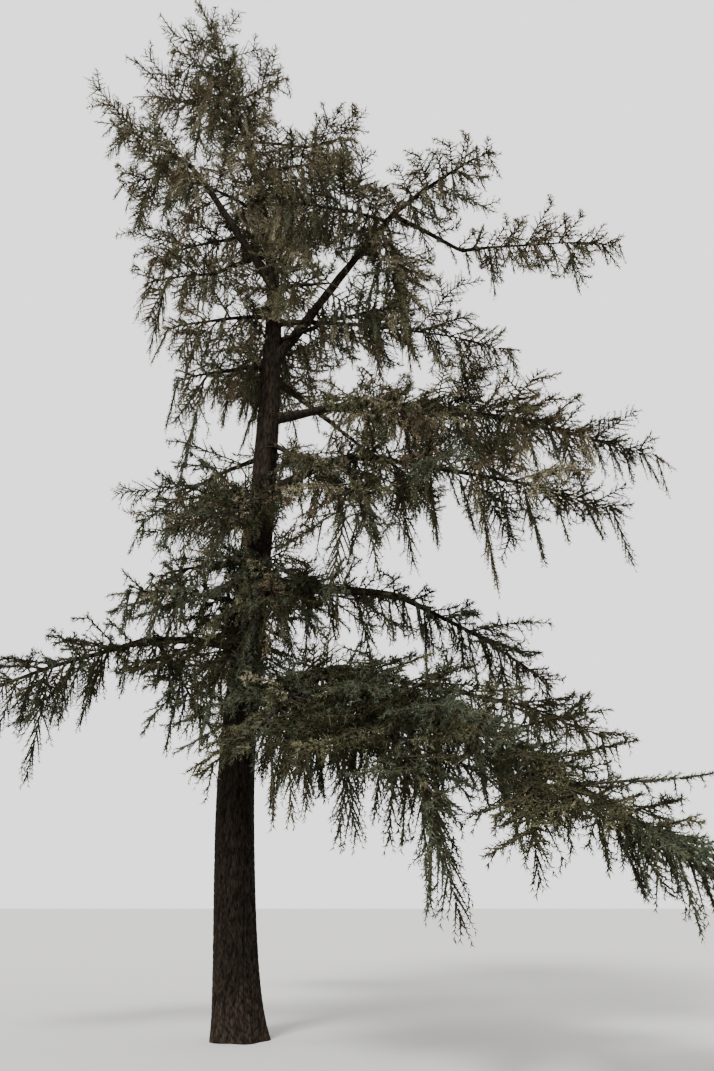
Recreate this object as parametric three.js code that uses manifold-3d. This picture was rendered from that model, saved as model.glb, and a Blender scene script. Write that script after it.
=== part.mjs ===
// An old atlas cedar from a park, as separate solids: the trunk, its main boughs and the masses of needles
// that they carry. Millimetres, +Z up. The origin is the middle of the flat cut at ground level. +X is to the
// right of someone who looks along +Y at the tree. A heading is counted in degrees from +X towards +Y, so -90
// points at that person.
import * as THREE from "three";
import { mergeVertices } from "three/addons/utils/BufferGeometryUtils.js";
import Module from "manifold-3d";

const wasm = await Module();
wasm.setup();

// The trunk. It leans a little to the left low down, stands straight, and leans left again towards its tip.
const TREE_HEIGHT = 23000;
const LEADER = 2060; // the topmost shoot, which belongs to the mass at the tip
const TRUNK_STATIONS = [
  { height: 0, lean: 0, radius: 322 },
  { height: 1000, lean: -110, radius: 308 },
  { height: 3100, lean: -260, radius: 280 },
  { height: 5500, lean: -230, radius: 254 },
  { height: 8600, lean: -130, radius: 224 },
  { height: 11400, lean: -120, radius: 184 },
  { height: 13600, lean: -210, radius: 132 },
  { height: 15600, lean: -520, radius: 92 },
  { height: 18000, lean: -1050, radius: 62 },
  { height: 19600, lean: -1500, radius: 44 },
  { height: TREE_HEIGHT - LEADER, lean: -1870, radius: 28 },
];
const TRUNK_SIDES = 21;
const TRUNK_RINGS = 17;
const RING_CROWDING = 1.35; // above 1 the rings stand closer together at the foot
const ROOT_FLARE = 74; // how far the foot spreads past the bole
const FLARE_HEIGHT = 340; // the height over which most of the flare dies away
const BUTTRESSES = 5;
const BUTTRESS_DEPTH = 0.4; // of the flare
const BUTTRESS_TURN = 0.4; // radians
const FLARE_TO_RIGHT = 0.25; // how much more the foot spreads on its right, of the flare

// How far the pieces stay apart.
const SEAT_GAP = 0.34; // between a piece of wood and the one that carries it
const FOLIAGE_GAP = 6; // between a spray and anything it may not touch
const SIMPLIFY = 2; // edges shorter than this are merged when a mass is fused

// The boughs. Each leaves the trunk at a height, or another bough's tip, and is one tapering limb: girth and
// tip are its radii, and sag is how far its weight bends its end down, over its length.
const LIMB_SIDES = 8;
const LIMB_RING_SPACING = 600;
const BOUGHS = [
  { name: "low_right", height: 4550, heading: -44, pitch: 9, length: 2350, sag: 0.12, girth: 100, tip: 66 },
  { name: "mid_right", height: 6600, heading: 9, pitch: 3, length: 2600, sag: 0.08, girth: 84, tip: 56 },
  { name: "centre_right", height: 8300, heading: -31, pitch: 19, length: 1950, sag: 0.18, girth: 84, tip: 60 },
  { name: "plateau", height: 10000, heading: -9, pitch: 10, length: 1900, sag: 0.08, girth: 84, tip: 62 },
  { name: "great_right", height: 11350, heading: -13, pitch: 56, length: 4600, sag: 0.04, girth: 98, tip: 62 },
  { name: "great_arm", from: "great_right", heading: 0, pitch: -37, length: 1800, sag: 0, girth: 46, tip: 36 },
  { name: "under_right", height: 12400, heading: 15, pitch: 20, length: 1700, sag: 0.12, girth: 58, tip: 42 },
  { name: "back_right", height: 11000, heading: 52, pitch: 4, length: 2300, sag: 0.1, girth: 66, tip: 44 },
  { name: "top_right", height: 18100, heading: 4, pitch: 2, length: 1450, sag: 0.1, girth: 34, tip: 25 },
  { name: "upper_left", height: 13500, heading: -166, pitch: 58, length: 3750, sag: 0.03, girth: 92, tip: 58 },
  { name: "left", height: 14400, heading: 168, pitch: -8, length: 1300, sag: 0.12, girth: 50, tip: 38 },
  { name: "low_left", height: 5450, heading: -165, pitch: 5, length: 1600, sag: 0.08, girth: 74, tip: 50 },
  { name: "back_low", height: 5900, heading: 98, pitch: 8, length: 2000, sag: 0.1, girth: 80, tip: 54 },
];

// The masses of needles. Each grows on from a bough's tip, or from the trunk at a height: spread is how far
// its twigs reach to each side of the stem, and hang is how far its sprays weep below them.
const MASSES = [
  { name: "tip", height: TREE_HEIGHT - LEADER, heading: 180, pitch: 78, length: 2100, spread: 1600, hang: 850 },
  { name: "spire_left", height: 20100, heading: -169, pitch: 43, length: 2050, spread: 1200 },
  { name: "spire_right", height: 19500, heading: -13, pitch: 30, length: 1600, spread: 1200 },
  { name: "top_left", height: 18900, heading: 173, pitch: 35, length: 3000, spread: 1600 },
  { name: "top_front", height: 18300, heading: -105, pitch: -8, length: 2000, spread: 1600 },
  { name: "top_right", from: "top_right", heading: 12, pitch: 34, length: 1500, spread: 1350 },
  { name: "top_under", height: 16900, heading: -22, pitch: -7, length: 2400, spread: 1450 },
  { name: "upper_left_far", from: "upper_left", heading: 176, pitch: 44, length: 3000, spread: 1600 },
  { name: "upper_left_low", from: "upper_left", heading: -176, pitch: -9, length: 1600, spread: 1500 },
  { name: "upper_left_front", height: 15600, heading: -124, pitch: -21, length: 2500, spread: 1700 },
  { name: "left_upper", height: 15000, heading: 161, pitch: 13, length: 3200, spread: 1600 },
  { name: "left", from: "left", heading: 179, pitch: -1, length: 1500, spread: 1450, hang: 1550 },
  { name: "left_mid", height: 12600, heading: -165, pitch: -13, length: 2200, spread: 1450, hang: 1550 },
  { name: "left_curtain", height: 11300, heading: -166, pitch: -13, length: 1900, spread: 1500, hang: 2050 },
  { name: "left_rising", height: 7500, heading: -155, pitch: 35, length: 1800, spread: 1100 },
  { name: "left_low", height: 7000, heading: -175, pitch: -3, length: 1800, spread: 1300, hang: 1500 },
  { name: "left_inner", height: 6200, heading: -138, pitch: -1, length: 2300, spread: 1300, hang: 1500 },
  { name: "low_left_arm", from: "low_left", heading: -171, pitch: -18, length: 3700, spread: 1500, hang: 1500 },
  { name: "low_left_fall", from: "low_left", heading: -40, pitch: -42, length: 1900, spread: 1150 },
  { name: "front_high", height: 13300, heading: -56, pitch: -31, length: 3200, spread: 2000 },
  { name: "front_mid", height: 9500, heading: -40, pitch: -37, length: 2700, spread: 1450, hang: 1500 },
  { name: "front_left", height: 8500, heading: -106, pitch: -41, length: 2200, spread: 1600 },
  { name: "front_low_right", height: 7200, heading: -72, pitch: -37, length: 2600, spread: 1600 },
  { name: "front_low_left", height: 6100, heading: -96, pitch: -41, length: 2200, spread: 1550 },
  { name: "great_crown", from: "great_right", heading: -47, pitch: -2, length: 2600, spread: 1300, hang: 1500 },
  { name: "great_inner", from: "great_right", heading: -152, pitch: -10, length: 2600, spread: 1700, hang: 1700 },
  { name: "great_drop", from: "great_right", heading: -70, pitch: -74, length: 2900, spread: 1300, hang: 1550 },
  { name: "great_arm", from: "great_arm", heading: -4, pitch: 7, length: 3400, spread: 1050 },
  { name: "under_right", from: "under_right", heading: 8, pitch: 3, length: 3700, spread: 1650 },
  { name: "inner_right", height: 11900, heading: -30, pitch: 1, length: 3000, spread: 1650 },
  { name: "plateau_outer", from: "plateau", heading: -5, pitch: -8, length: 5500, spread: 1700 },
  { name: "plateau_drop", from: "plateau", heading: -24, pitch: -16, length: 4300, spread: 1600, hang: 1700 },
  { name: "plateau_inner", from: "plateau", heading: -62, pitch: -31, length: 2900, spread: 1600 },
  { name: "centre_outer", from: "centre_right", heading: -20, pitch: -16, length: 4500, spread: 1850 },
  { name: "centre_cascade", from: "centre_right", heading: -76, pitch: -50, length: 2700, spread: 1850 },
  { name: "mid_outer", from: "mid_right", heading: 6, pitch: -24, length: 2900, spread: 1500 },
  { name: "mid_inner", height: 6300, heading: -26, pitch: -1, length: 2900, spread: 1450, hang: 1300 },
  { name: "low_right_fall", from: "low_right", heading: -32, pitch: -26, length: 5500, spread: 2050, hang: 1300 },
  { name: "low_middle_fall", from: "low_right", heading: -66, pitch: -33, length: 3300, spread: 1550 },
  { name: "low_front_fall", from: "low_right", heading: -124, pitch: -31, length: 2200, spread: 1600 },
  { name: "low_right_arm", from: "low_right", heading: 17, pitch: 0, length: 4700, spread: 1250 },
  { name: "back_right", from: "back_right", heading: 46, pitch: -7, length: 3300, spread: 1850, hang: 1300 },
  { name: "back_low", from: "back_low", heading: 98, pitch: -13, length: 3500, spread: 1950, hang: 1300 },
  { name: "back_left", height: 9200, heading: 138, pitch: 8, length: 4200, spread: 1850 },
  { name: "back_mid", height: 12200, heading: 98, pitch: 16, length: 4000, spread: 1850 },
  { name: "back_top", height: 16200, heading: 70, pitch: 26, length: 3200, spread: 1700 },
];
const HANG_SHARE = 0.9; // of the spread, where a mass states no hang
const MASS_SAG = 0.14; // how far a level stem's end is bent down, over its length
const UPRIGHT = 60; // from this pitch on, in degrees, a stem carries its twigs all round

// The stem of a mass.
const STEM_SIDES = 4;
const STEM_STEPS = 2;
const STEM_RADIUS_SHARE = 0.62; // of the bough's tip
const STEM_RADIUS = { least: 22, most: 40 };
const STEM_TAPER = 0.6;
const STEM_SHARE = 0.72; // of the mass's length; its last spray goes on from there
const STEM_ROOT = 0.99; // where on its bough the first stem starts
const STEM_STEP_BACK = 0.05; // how much nearer to the bough's foot each further stem starts

// The twigs leave the stem by turns to the left and right, and some stand up out of that plane.
const TWIG_SIDES = 3;
const TWIG_SPACING = 1150; // along the stem
const FEWEST_TWIGS = 2;
const TWIG_RADIUS = 15;
const TWIG_TAPER = 0.6;
const TWIG_SAG = 0.12;
const TWIG_RANGE = { first: 0.16, last: 0.64 }; // shares of the mass's length
const TWIG_ANGLE = { foot: 74, tip: 44, jitter: 6 }; // degrees between twig and stem
const TWIG_TURN = { least: 72, most: 112, lifted: 40 }; // degrees round the stem, from straight up
const TWIG_LENGTH = { least: 0.85, most: 1.1, lifted: 0.7 }; // shares of the spread
const LIFT_EVERY = 5;
const GOLDEN_ANGLE = 137.5; // degrees from one twig to the next round an upright stem

// A spray of needles is a flat fan of tapering fingers, thickest in its middle. One carries each twig on from
// its end, and another weeps below it.
const FINGERS = 4;
const FINGER_OUTERMOST = 0.74; // the outermost fingers' length over the middle one's
const FINGER_NOTCH = 0.64; // how far the gap between two fingers reaches, over their length
const FINGER_SHORTEST = 0.86; // a finger's length by chance, over its full length
const SPRAY_ROOT = 0.16; // from root to middle over the spray's length
const SPRAY_THICKNESS = 0.045; // half thickness over length
const SPRAY_SCALES = [1, 0.78, 0.6]; // a spray that would touch a neighbour is tried smaller
const SPRAY_ROLL = 0.45; // how far its plane tilts by chance
const TWIG_SHARE = 0.26; // of the twig's reach; the spray goes on from there
const ONWARD_OPENING = 84; // degrees from the middle finger to the outermost
const WEEPING_OPENING = 62;
const WEEPING_ROOT = 0.6; // where it leaves the twig
const WEEPING_LEAN = 0.3; // how far out from the vertical it hangs
const WEEPING_TURN = 1.2; // how far its plane turns by chance, in radians
const WEEPING_LENGTH = { least: 0.8, most: 1.1 }; // shares of the hang
const TIP_FACING = new THREE.Vector3(0.1, 0.2, 1);

const SEED = 53; // another number grows another crown by the same rules

const up = new THREE.Vector3(0, 0, 1);
const degrees = (angle) => (angle * Math.PI) / 180;
const mix = (a, b, share) => a + (b - a) * share;

// A repeatable number from 0 to 1 for a few whole-number keys.
function chance(...keys) {
  let hash = 2166136261 + SEED;
  for (const key of keys) {
    hash = Math.imul(hash ^ (key + 1), 16777619);
    hash ^= hash >>> 15;
    hash = Math.imul(hash, 2246822519);
    hash ^= hash >>> 13;
  }
  return (hash >>> 0) / 4294967296;
}

const between = (low, high, ...keys) => mix(low, high, chance(...keys));

function direction(heading, pitch) {
  const level = Math.cos(degrees(pitch));
  return new THREE.Vector3(
    level * Math.cos(degrees(heading)),
    level * Math.sin(degrees(heading)),
    Math.sin(degrees(pitch)),
  );
}

// The trunk's centre and radius at a height, smooth through the stations.
const trunkLine = new THREE.CatmullRomCurve3(
  TRUNK_STATIONS.map((station) => new THREE.Vector3(station.lean, station.radius, station.height)),
);

function trunkAt(height) {
  const halvings = 40;
  let [low, high] = [0, 1];
  for (let i = 0; i < halvings; i++) {
    const middle = (low + high) / 2;
    if (trunkLine.getPoint(middle).z < height) low = middle;
    else high = middle;
  }
  const found = trunkLine.getPoint(low);
  return { centre: new THREE.Vector3(found.x, 0, height), radius: found.y };
}

// A growing line: straight on from its start, bent down more and more by its own weight.
class Shoot {
  constructor(start, heading, length, sag) {
    Object.assign(this, { start, heading, length, sag });
  }

  at(share) {
    return this.start
      .clone()
      .addScaledVector(this.heading, this.length * share)
      .addScaledVector(up, -this.sag * this.length * share * share);
  }

  tangent(share) {
    return this.heading.clone().addScaledVector(up, -2 * this.sag * share).normalize();
  }

  // The same line, ended early.
  upTo(share) {
    return new Shoot(this.start, this.heading, this.length * share, this.sag * share);
  }
}

// Bends and tapers a straight cylinder: place(share along it, angle round it, 0 at its axis, 1 at its skin).
function wrap(sides, steps, place) {
  const geometry = new THREE.CylinderGeometry(1, 1, 1, sides, steps);
  const position = geometry.getAttribute("position");
  for (let i = 0; i < position.count; i++) {
    const [x, y, z] = [position.getX(i), position.getY(i), position.getZ(i)];
    const point = place(y + 0.5, Math.atan2(z, x), Math.min(1, Math.hypot(x, z)));
    position.setXYZ(i, point.x, point.y, point.z);
  }
  return geometry;
}

function closed(geometry) {
  geometry.deleteAttribute("normal");
  geometry.deleteAttribute("uv");
  const merged = mergeVertices(geometry, 1e-3);
  return new wasm.Manifold(
    new wasm.Mesh({
      numProp: 3,
      vertProperties: new Float32Array(merged.getAttribute("position").array),
      triVerts: new Uint32Array(merged.index.array),
    }),
  );
}

// A tapering limb along a shoot. grown fattens it all round, for cutting a neighbour clear.
function limbSolid(shoot, foot, tip, sides, steps, grown = 0) {
  const side = new THREE.Vector3().crossVectors(shoot.heading, up).normalize();
  return closed(
    wrap(sides, steps, (share, angle, out) => {
      const along = mix(-grown, shoot.length + grown, share) / shoot.length;
      const above = new THREE.Vector3().crossVectors(side, shoot.tangent(along));
      const radius = (mix(foot, tip, share) + grown) * out;
      return shoot
        .at(along)
        .addScaledVector(side, radius * Math.cos(angle))
        .addScaledVector(above, radius * Math.sin(angle));
    }),
  );
}

function trunkSolid(grown = 0) {
  const top = TREE_HEIGHT - LEADER;
  const solid = closed(
    wrap(TRUNK_SIDES, TRUNK_RINGS, (share, angle, out) => {
      const height = top * share ** RING_CROWDING;
      const { centre, radius } = trunkAt(height);
      const lobes = BUTTRESS_DEPTH * Math.cos(BUTTRESSES * angle + BUTTRESS_TURN);
      const spread = 1 + lobes + FLARE_TO_RIGHT * Math.cos(angle);
      const reach = (radius + ROOT_FLARE * Math.exp(-height / FLARE_HEIGHT) * spread + grown) * out;
      const z = share === 1 ? height + grown : height;
      return new THREE.Vector3(centre.x + reach * Math.cos(angle), -reach * Math.sin(angle), z);
    }),
  );
  return solid.simplify();
}

const boxed = (solid) => ({ solid, box: solid.boundingBox() });

function boxesMeet(a, b, gap) {
  return [0, 1, 2].every((i) => a.min[i] - gap <= b.max[i] && b.min[i] - gap <= a.max[i]);
}

function isClear(solid, others) {
  const box = solid.boundingBox();
  const near = others.filter((other) => boxesMeet(box, other.box, FOLIAGE_GAP));
  return near.every((other) => solid.minGap(other.solid, FOLIAGE_GAP) >= FOLIAGE_GAP);
}

// Cuts a piece clear of its neighbours and keeps the largest part, so a loose scrap or a sealed hollow goes.
function cutClear(solid, cutters) {
  const box = solid.boundingBox();
  let left = solid;
  for (const cutter of cutters) {
    if (boxesMeet(box, cutter.box, 0)) left = left.subtract(cutter.solid);
  }
  return left.decompose().reduce((best, piece) => (piece.volume() > best.volume() ? piece : best));
}

// One spray of needles, flat across its facing direction. The keys make its fingers uneven.
function spraySolid({ root, heading, facing, length, opening }, ...keys) {
  const side = new THREE.Vector3().crossVectors(heading, facing).normalize();
  const face = new THREE.Vector3().crossVectors(side, heading);
  const outline = [{ turn: 180, out: length * SPRAY_ROOT }];
  const points = 2 * FINGERS - 1;
  for (let i = 0; i < points; i++) {
    const turn = mix(opening, -opening, i / (points - 1));
    const finger = mix(1, FINGER_OUTERMOST, (turn / opening) ** 2) * between(FINGER_SHORTEST, 1, ...keys, i);
    outline.push({ turn, out: length * (1 - SPRAY_ROOT) * finger * (i % 2 ? FINGER_NOTCH : 1) });
  }
  const geometry = new THREE.SphereGeometry(1, outline.length, 2);
  const position = geometry.getAttribute("position");
  const middle = root.clone().addScaledVector(heading, length * SPRAY_ROOT);
  for (let i = 0; i < position.count; i++) {
    const pole = Math.round(position.getY(i));
    const { turn, out } = outline[(i % (outline.length + 1)) % outline.length];
    const reach = pole ? 0 : out;
    const point = middle
      .clone()
      .addScaledVector(face, pole * SPRAY_THICKNESS * length)
      .addScaledVector(heading, reach * Math.cos(degrees(turn)))
      .addScaledVector(side, reach * Math.sin(degrees(turn)));
    position.setXYZ(i, point.x, point.y, point.z);
  }
  return closed(geometry);
}

// How long a twig is at a share of the stem: longest before the middle, shorter at the foot and the tip.
const crownShape = (share) => 0.5 + 0.5 * Math.sin(Math.PI * share ** 0.8);

function twigsOf(mass, index, stem) {
  const count = Math.max(FEWEST_TWIGS, Math.round(mass.length / TWIG_SPACING));
  const across = new THREE.Vector3().crossVectors(stem.heading, up).normalize();
  return Array.from({ length: count }, (_, i) => {
    const share = mix(TWIG_RANGE.first, TWIG_RANGE.last, i / (count - 1));
    const tangent = stem.tangent(share);
    const above = new THREE.Vector3().crossVectors(across, tangent);
    const lifted = i % LIFT_EVERY === LIFT_EVERY - 1;
    const level = lifted ? TWIG_TURN.lifted : between(TWIG_TURN.least, TWIG_TURN.most, index, i, 1);
    const turn = degrees(mass.pitch > UPRIGHT ? i * GOLDEN_ANGLE : level * (i % 2 ? 1 : -1));
    const jitter = between(-TWIG_ANGLE.jitter, TWIG_ANGLE.jitter, index, i, 2);
    const angle = degrees(mix(TWIG_ANGLE.foot, TWIG_ANGLE.tip, share) + jitter);
    const heading = tangent
      .clone()
      .multiplyScalar(Math.cos(angle))
      .addScaledVector(across, Math.sin(angle) * Math.sin(turn))
      .addScaledVector(above, Math.sin(angle) * Math.cos(turn))
      .normalize();
    const vigour = between(TWIG_LENGTH.least, TWIG_LENGTH.most, index, i, 3);
    const reach = mass.spread * crownShape(share) * vigour * (lifted ? TWIG_LENGTH.lifted : 1);
    return new Shoot(stem.at(share), heading, reach, TWIG_SAG);
  });
}

function spraysOf(mass, index, i, twig) {
  const line = twig.tangent(TWIG_SHARE);
  const tilt = (key) => between(-SPRAY_ROLL, SPRAY_ROLL, index, i, key);
  const rootShare = TWIG_SHARE * (1 - SPRAY_ROOT);
  const onward = {
    root: twig.at(rootShare),
    heading: line,
    facing: new THREE.Vector3(tilt(4), tilt(5), 1),
    length: twig.length * (1 - rootShare),
    opening: ONWARD_OPENING,
  };
  const turn = between(-WEEPING_TURN, WEEPING_TURN, index, i, 6);
  const hang = mass.hang ?? mass.spread * HANG_SHARE;
  const weeping = {
    root: twig.at(TWIG_SHARE * WEEPING_ROOT),
    heading: line.clone().multiplyScalar(WEEPING_LEAN).sub(up).normalize(),
    facing: new THREE.Vector3().crossVectors(line, up).applyAxisAngle(up, turn),
    length: hang * between(WEEPING_LENGTH.least, WEEPING_LENGTH.most, index, i, 7),
    opening: WEEPING_OPENING,
  };
  return [onward, weeping];
}

function tipSprayOf(stem) {
  const root = stem.at(STEM_SHARE * (1 - SPRAY_ROOT / 2));
  const line = stem.at(1).sub(root);
  const heading = line.clone().normalize();
  return { root, heading, facing: TIP_FACING, length: line.length(), opening: ONWARD_OPENING };
}

function stemSolid(stem, radius, grown = 0) {
  return limbSolid(stem.upTo(STEM_SHARE), radius, radius * STEM_TAPER, STEM_SIDES, STEM_STEPS, grown);
}

// One mass: its stem, twigs and sprays in one body. A twig or spray with no room is left out.
function massSolid(mass, index, { stem, radius }, wood, neighbours) {
  const parts = [stemSolid(stem, radius)];
  const add = (solid) => {
    const fits = isClear(solid, neighbours);
    if (fits) parts.push(solid);
    return fits;
  };
  const addSpray = (spray, ...keys) =>
    SPRAY_SCALES.some((scale) => add(spraySolid({ ...spray, length: spray.length * scale }, ...keys)));
  twigsOf(mass, index, stem).forEach((twig, i) => {
    const foot = twig.upTo(TWIG_SHARE);
    const grew = add(limbSolid(foot, TWIG_RADIUS, TWIG_RADIUS * TWIG_TAPER, TWIG_SIDES, 1));
    if (grew) spraysOf(mass, index, i, twig).forEach((spray, k) => addSpray(spray, index, i, k));
  });
  addSpray(tipSprayOf(stem), index);
  return cutClear(wasm.Manifold.union(parts).simplify(SIMPLIFY), wood);
}

function matt(name, color, roughness) {
  return new THREE.MeshStandardMaterial({ name, color, roughness, metalness: 0 });
}

const bark = matt("bark", 0x4a3c33, 0.95);
const needles = matt("needles", 0x56625a, 0.8);

const tree = new THREE.Group();

function addNode(name, solid, material) {
  const { numProp, vertProperties, triVerts } = solid.getMesh();
  const points = new Float32Array(solid.numVert() * 3);
  for (let i = 0; i < solid.numVert(); i++) {
    points.set(vertProperties.subarray(i * numProp, i * numProp + 3), i * 3);
  }
  const geometry = new THREE.BufferGeometry();
  geometry.setAttribute("position", new THREE.BufferAttribute(points, 3));
  geometry.setIndex(new THREE.BufferAttribute(triVerts, 1));
  geometry.computeVertexNormals();
  const mesh = new THREE.Mesh(geometry, material);
  mesh.name = name;
  tree.add(mesh);
}

// The trunk and the boughs, each cut clear of the wood before it.
addNode("trunk", trunkSolid(), bark);
const wood = [boxed(trunkSolid(SEAT_GAP))];
const boughs = new Map();
for (const bough of BOUGHS) {
  const start = bough.from ? boughs.get(bough.from).shoot.at(STEM_ROOT) : trunkAt(bough.height).centre;
  const shoot = new Shoot(start, direction(bough.heading, bough.pitch), bough.length, bough.sag);
  const steps = Math.round(bough.length / LIMB_RING_SPACING);
  const limb = (grown) => limbSolid(shoot, bough.girth, bough.tip, LIMB_SIDES, steps, grown);
  addNode(`bough_${bough.name}`, cutClear(limb(0), wood), bark);
  wood.push(boxed(limb(SEAT_GAP)));
  boughs.set(bough.name, { shoot, tip: bough.tip, carried: 0 });
}

// The stem of every mass comes before any mass, so that no spray grows into a neighbour's stem.
const stems = MASSES.map((mass) => {
  const bough = boughs.get(mass.from);
  const trunk = bough ? null : trunkAt(mass.height);
  const foot = bough ? bough.shoot.at(STEM_ROOT - STEM_STEP_BACK * bough.carried++) : trunk.centre;
  const sag = MASS_SAG * Math.cos(degrees(mass.pitch));
  const stem = new Shoot(foot, direction(mass.heading, mass.pitch), mass.length, sag);
  const wanted = STEM_RADIUS_SHARE * (bough ? bough.tip : trunk.radius);
  const radius = Math.min(STEM_RADIUS.most, Math.max(STEM_RADIUS.least, wanted));
  return { stem, radius, cutter: boxed(stemSolid(stem, radius, SEAT_GAP)) };
});

const grownMasses = [];
MASSES.forEach((mass, index) => {
  const earlier = stems.slice(0, index).map((other) => other.cutter);
  const later = stems.slice(index + 1).map((other) => other.cutter);
  const cutters = [...wood, ...earlier];
  const solid = massSolid(mass, index, stems[index], cutters, [...cutters, ...later, ...grownMasses]);
  addNode(`foliage_${mass.name}`, solid, needles);
  grownMasses.push(boxed(solid));
});

export default tree;
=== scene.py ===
# %% [markdown]
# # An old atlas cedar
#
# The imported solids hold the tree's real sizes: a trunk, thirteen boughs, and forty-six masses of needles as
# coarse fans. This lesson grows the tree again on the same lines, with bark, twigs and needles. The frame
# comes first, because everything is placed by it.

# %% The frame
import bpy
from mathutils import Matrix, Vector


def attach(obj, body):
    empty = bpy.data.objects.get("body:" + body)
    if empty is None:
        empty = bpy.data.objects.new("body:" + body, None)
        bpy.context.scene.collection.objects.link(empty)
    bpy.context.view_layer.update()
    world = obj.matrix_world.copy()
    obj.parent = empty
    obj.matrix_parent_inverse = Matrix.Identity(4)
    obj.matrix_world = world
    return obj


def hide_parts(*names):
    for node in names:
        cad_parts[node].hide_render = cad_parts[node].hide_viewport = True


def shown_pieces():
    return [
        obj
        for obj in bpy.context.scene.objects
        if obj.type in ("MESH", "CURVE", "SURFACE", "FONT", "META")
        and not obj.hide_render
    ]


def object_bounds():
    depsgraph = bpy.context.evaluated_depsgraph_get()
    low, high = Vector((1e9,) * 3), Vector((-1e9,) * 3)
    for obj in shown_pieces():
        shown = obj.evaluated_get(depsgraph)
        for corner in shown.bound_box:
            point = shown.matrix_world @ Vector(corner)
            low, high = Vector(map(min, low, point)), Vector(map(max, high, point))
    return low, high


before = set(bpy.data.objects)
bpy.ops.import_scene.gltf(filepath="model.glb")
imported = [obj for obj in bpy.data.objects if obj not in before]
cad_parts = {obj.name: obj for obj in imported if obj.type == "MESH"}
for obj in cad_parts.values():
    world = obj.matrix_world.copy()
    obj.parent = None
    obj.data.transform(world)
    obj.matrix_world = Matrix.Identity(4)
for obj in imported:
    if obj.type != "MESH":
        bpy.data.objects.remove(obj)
cad_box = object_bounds()
print("solids:", len(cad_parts), "box:", [[round(x, 2) for x in corner] for corner in cad_box])

# %% Tools and directions
import math
from collections import namedtuple

import bmesh
import bpy
import numpy as np

UP = np.array((0.0, 0.0, 1.0))
ALONG_X = np.array((1.0, 0.0, 0.0))


def mix(a, b, share):
    return a + (b - a) * share


def unit(vectors):
    return vectors / np.linalg.norm(vectors, axis=-1, keepdims=True)


def placed(name, data):
    """An object of the scene that holds a mesh, a camera or a light."""
    made = bpy.data.objects.new(name, data)
    bpy.context.scene.collection.objects.link(made)
    return made


print("Blender", bpy.app.version_string, "with numpy", np.__version__)

# %% [markdown]
# ## The camera
#
# The photograph was taken from the ground, looking up. A camera could be turned by hand until the view fits,
# but nobody would know why it fits. So the tilt follows from the horizon's row in the picture, since the
# horizon lies level with the eye. The sensor's 36 mm are the picture's long side.

# %% Camera at eye height
PICTURE = {"width": 714, "height": 1071}
HORIZON_ROW = 905
FOCAL_PIXELS = 750
EYE = (1.593, -12.0, 1.62)

tilt = math.atan((HORIZON_ROW - PICTURE["height"] / 2) / FOCAL_PIXELS)
camera_data = bpy.data.cameras.new("camera")
camera_data.sensor_width = 36
camera_data.lens = camera_data.sensor_width * FOCAL_PIXELS / PICTURE["height"]
camera = placed("camera", camera_data)
camera.location = EYE
camera.rotation_euler = (math.radians(90) + tilt, 0, 0)
bpy.context.scene.camera = camera
print("lens %.1f mm, tilt %.1f degrees" % (camera_data.lens, math.degrees(tilt)))

# %% [markdown]
# ## How the tree grows
#
# A limb, a stem and a twig are the same kind of line: it leaves its start straight, and its own weight bends
# it down more and more. Thousands can't be drawn by hand, so one rule draws them all from a heading, a
# length and a sag. A number that the same keys always give again makes the crown irregular, and yet the same
# each time. Both rules shaped the solids too, so the twigs grow where the solids are.

# %% The repeatable number
SEED = 53
WORD = 0xFFFFFFFF
HASH_START = 2166136261
HASH_STEP = 16777619
HASH_STIR = 2246822519


def chance(*keys):
    """A number from 0 to 1 that the same keys always give again."""
    value = (HASH_START + SEED) & WORD
    for key in keys:
        value = ((value ^ (key + 1)) * HASH_STEP) & WORD
        value ^= value >> 15
        value = (value * HASH_STIR) & WORD
        value ^= value >> 13
    return value / (WORD + 1)


def between(low, high, *keys):
    return mix(low, high, chance(*keys))


print("the numbers of keys 0, 1 and 2:", [round(chance(key), 3) for key in range(3)])


# %% The growing line
def direction(heading, pitch):
    """A unit vector from degrees: heading from the right away from the camera, pitch above level."""
    heading, pitch = math.radians(heading), math.radians(pitch)
    level = math.cos(pitch)
    return np.array((level * math.cos(heading), level * math.sin(heading), math.sin(pitch)))


class Shoot:
    """A line that leaves its start straight, and whose tip has sunk by sag times its length."""

    def __init__(self, start, heading, length, sag):
        self.start, self.heading, self.length, self.sag = start, heading, length, sag

    def at(self, share):
        return self.start + self.heading * self.length * share - UP * self.sag * self.length * share**2

    def tangent(self, share):
        return unit(self.heading - UP * 2 * self.sag * share)


level_shoot = Shoot(np.zeros(3), direction(0, 0), 2.0, 0.1)
print("a level shoot of 2 m with a sag of 0.1 ends at", level_shoot.at(1).round(2))

# %% [markdown]
# ## The trunk's line
#
# The trunk leans a little to the left low down, stands straight, and leans left again towards its tip. A
# straight cone would miss that, and a curve object could not be asked for its radius. So a few stations give
# lean and radius, and a cubic makes both smooth at any height.

# %% Trunk stations, in metres
TREE_HEIGHT = 23.0
LEADER = 2.06
TRUNK_TOP = TREE_HEIGHT - LEADER
STATIONS = np.array((
    # height, lean, radius
    (0.0, 0.0, 0.322),
    (1.0, -0.11, 0.308),
    (3.1, -0.26, 0.28),
    (5.5, -0.23, 0.254),
    (8.6, -0.13, 0.224),
    (11.4, -0.12, 0.184),
    (13.6, -0.21, 0.132),
    (15.6, -0.52, 0.092),
    (18.0, -1.05, 0.062),
    (19.6, -1.5, 0.044),
    (TRUNK_TOP, -1.87, 0.028),
))
FOOT_RADIUS = STATIONS[0, 2]
BREAST_HEIGHT = 1.3


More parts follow.
